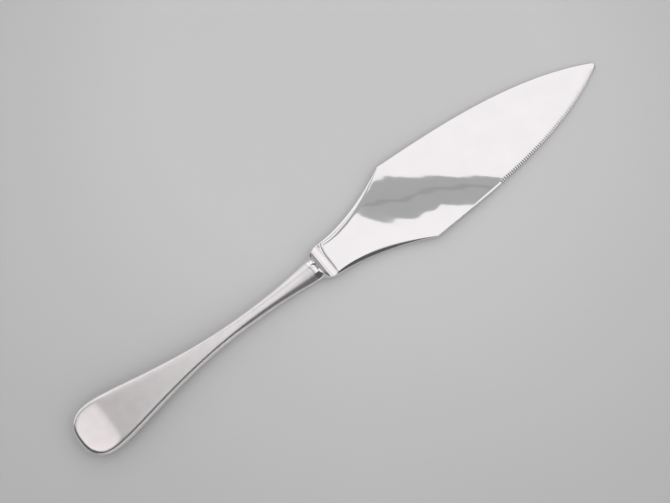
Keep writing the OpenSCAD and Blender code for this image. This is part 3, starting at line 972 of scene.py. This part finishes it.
camera_data = bpy.data.cameras.new("camera")
camera_data.sensor_width = 36.0
camera_data.lens = focal_pixels / picture_width * camera_data.sensor_width
camera_data.clip_start = 0.01
camera = bpy.data.objects.new("camera", camera_data)
camera.location = (aim + distance * backward).tolist()
camera.rotation_euler = turned_to(to_right, np.cross(backward, to_right), backward)
bpy.context.scene.collection.objects.link(camera)
bpy.context.scene.camera = camera
print("lens %.1f mm" % camera_data.lens)

# %% [markdown]
# The table
#
# The knife lies on pale grey paper. A plane is all that it needs, wide enough that its border never mirrors
# in the steel. The paper is palest behind the knife and darker towards the near corners, as the light falls
# off. That fall of light is painted into the paper's colour as a round gradient, a painted pool of light,
# and the lamps stay plain.

# %% Floor
floor_half = 3.0
# Centre and reach of the painted pool of light, and the paper's colour in painted shade and in painted
# light.
light_pool_ahead, light_pool_reach = 0.08, 0.55
paper_cloud = 0.04
paper_in_painted_shade, paper_in_painted_light = (0.425, 0.431, 0.432), (0.575, 0.582, 0.581)


def make_floor():
    """Flat sheet under the knife with a faint random paper tone and a painted pool of light that pales it
    towards the far side of the picture.
    """
    corners = np.array([[[-1, -1, 0], [1, -1, 0]], [[-1, 1, 0], [1, 1, 0]]]) * floor_half
    sheet = make_piece("table", [(corners, False)])
    material, shader = new_material("table_paper", Roughness=0.85)
    coordinates = add_node(material, "ShaderNodeTexCoord")
    centring = {"Location": (-ahead * light_pool_ahead / light_pool_reach).tolist(), "Scale": [1 / light_pool_reach] * 3}
    place = {"Vector": coordinates.outputs["Object"]}
    centred = {"Vector": add_node(material, "ShaderNodeMapping", centring, place).outputs["Vector"]}
    # Painted light: this round gradient pales the paper towards the far side, standing in for the falloff
    # of the overhead light.
    pale = add_node(material, "ShaderNodeTexGradient", links=centred, gradient_type="QUADRATIC_SPHERE")
    paper = spread_to(material, noise_at(material, 6.0), -paper_cloud, paper_cloud)
    tone = add_node(material, "ShaderNodeMath", links={0: pale.outputs["Fac"], 1: paper}, operation="ADD")
    colour = tint(material, tone.outputs["Value"], paper_in_painted_shade, paper_in_painted_light)
    link(material, colour, shader.inputs["Base Color"])
    sheet.data.materials.append(material)


make_floor()

# %% [markdown]
# Cards of light
#
# Polished steel shows the room, so the room is what is lit. Area lamps would light it too, but a glowing
# card can have any outline, and the steel mirrors that outline. Two large overhead cards leave a slit
# between them, which is the grey band across the blade. Through it show a grey ceiling and, just under
# that, a thin beam that is a little darker. A graded card over the handle is the grey of its paddle, and a
# warm one behind it is the pale patch on its butt. A card is placed by where its mirror image should be: a
# is the run to the right and b the run ahead for each unit of height above the blade.

# %% Card helpers
card_height = 0.9
cool_white, warm_white, plain_white = (1.0, 0.965, 0.973), (1.0, 0.935, 0.945), (1, 1, 1)
tint_drift = 0.98


def glow(name, card_tint):
    """Glowing surface as bright as its level, whose tint drifts a little, as a diffuser's does."""
    material = bpy.data.materials.new(name)
    material.use_nodes = True
    nodes = material.node_tree.nodes
    nodes.remove(nodes["Principled BSDF"])
    tone = noise_at(material, 2.0)
    level = add_node(material, "ShaderNodeAttribute", attribute_name="level").outputs["Fac"]
    lamp = add_node(material, "ShaderNodeEmission", links={"Strength": level})
    dim_tint = [tint_drift * c for c in card_tint]
    link(material, tint(material, tone, dim_tint, card_tint), lamp.inputs["Color"])
    link(material, lamp.outputs["Emission"], nodes["Material Output"].inputs["Surface"])
    return material


def card(name, rail, other, radiance, card_tint=cool_white):
    """Glowing card between two rails, each a list of points in metres with the same count. radiance is
    one number, or two for the two rails."""
    grid = np.array([rail, other])
    levels = np.ones(grid.shape[:2]) * np.reshape(radiance, (-1, 1))
    piece = make_piece(name, [(grid, False)], values=levels)
    piece.data.materials.append(glow(name, card_tint))


def overhead(places, at=card_height):
    """Points over the knife whose mirror images lie in the directions a, b."""
    return [to_right * a * at + ahead * b * at + upward * at for a, b in places]


print("cards hang %.1f m over the table" % card_height)

# %% Overhead cards
slit_near, slit_far = 0.475, 0.514
beam_height, ceiling_height = 1.19, 1.2
beam_below, beam_above = 0.003, 0.0015
near_rail = [
    (-0.45, 0.63), (-0.20, 0.62), (-0.10, 0.555), (0.0, 0.512), (0.03, 0.498), (0.06, 0.485),
    (0.08, 0.468), (0.10, 0.457), (0.125, 0.453), (0.14, 0.463), (0.16, slit_near), (1.20, slit_near)]
near_side = np.linspace((0.53, -0.34), (1.12, 0.13), len(near_rail))
card("near_card", overhead(near_rail), overhead(near_side), 0.98)
far_rail = [
    (-1.0, 0.80), (-0.34, 0.80), (-0.20, 0.76), (-0.10, 0.67), (-0.04, 0.60), (0.0, 0.55),
    (0.03, 0.52), (0.10, 0.510), (0.16, slit_far), (0.90, slit_far)]
far_side = np.linspace((-1.0, 1.3), (0.9, 1.3), len(far_rail))
card("far_card", overhead(far_rail), overhead(far_side), 0.98)
beam_line = np.array([
    (0.0, 0.53), (0.05, 0.486), (0.09, 0.480), (0.11, 0.478), (0.125, 0.487), (0.15, 0.491),
    (0.20, 0.493), (0.40, 0.495)])
beam_rail = overhead(beam_line - [0, beam_below], beam_height)
beam_side = overhead(beam_line + [0, beam_above], beam_height)
card("beam", beam_rail, beam_side, 0.35, plain_white)
butt_rail = [(-0.495, 0.374), (0.261, -0.562)]
butt_side = [(-0.924, 0.027), (-0.168, -0.909)]
card("butt_card", overhead(butt_rail), overhead(butt_side), 1.0, warm_white)
paddle_side = [near_rail[0], near_side[0]]
card("paddle_card", overhead(butt_rail), overhead(paddle_side), (0.33, 0.88))
ceiling_rail = overhead([(-1.2, -0.3), (0.5, -0.3)], ceiling_height)
ceiling_side = overhead([(-1.2, 1.2), (1.2, 1.2)], ceiling_height)
card("ceiling", ceiling_rail, ceiling_side, 0.42, plain_white)

# %% [markdown]
# Walls of light
#
# The slanting faces of the knife mirror what stands round the table. Lamps there would only leave small
# sparks. A white wall at the far left whitens the far edges, a grey one in front tones the scoop and the
# heel, and a low white one on the near side draws the light line along the seam. Above that one the near
# side stays dark, so the near flanks darken.

# %% Walls
wall_away = 1.6


def wall(name, bearing, width, height, radiance):
    """Upright card that stands on the floor and faces the knife. bearing is in radians, clockwise from
    straight ahead."""
    out = ahead * math.cos(bearing) + to_right * math.sin(bearing)
    side = np.cross(upward, out) * width / 2
    foot = out * wall_away
    head = foot + upward * height
    card(name, [foot - side, foot + side], [head - side, head + side], radiance)


wall("left_wall", math.radians(-45), 2.6, 1.0, 1.0)
wall("front_wall", math.radians(51), 2.0, 0.85, 0.36)
wall("near_wall", math.radians(145), 4.4, 0.4, 0.95)

# %% [markdown]
# The room
#
# What is left of the room is dim where the steel mirrors it and pale where the table is lit by it, so that
# the near edges darken while the paper stays light. A box of walls could do that with many lamps. A world
# that asks each ray what it is does it with one number for each.

# %% World
room_seen, room_lit = 0.1, 1.25


def make_room(seen, lit):
    """World whose tone for camera, glossy and transmission rays is seen, and lit for all other rays."""
    world = bpy.data.worlds.new("room")
    world.use_nodes = True
    nodes, links = world.node_tree.nodes, world.node_tree.links
    path = nodes.new("ShaderNodeLightPath")
    either = path.outputs["Is Camera Ray"]
    for name in ("Is Glossy Ray", "Is Transmission Ray"):
        larger = nodes.new("ShaderNodeMath")
        larger.operation = "MAXIMUM"
        links.new(either, larger.inputs[0])
        links.new(path.outputs[name], larger.inputs[1])
        either = larger.outputs["Value"]
    tone = nodes.new("ShaderNodeMapRange")
    tone.inputs["To Min"].default_value = lit
    tone.inputs["To Max"].default_value = seen
    links.new(either, tone.inputs["Value"])
    links.new(tone.outputs["Result"], nodes["Background"].inputs["Strength"])
    nodes["Background"].inputs["Color"].default_value = (1, 1, 1, 1)
    return world


bpy.context.scene.world = make_room(room_seen, room_lit)
bpy.context.scene.view_settings.view_transform = "Standard"
print("room: %.2f where seen, %.2f as light" % (room_seen, room_lit))
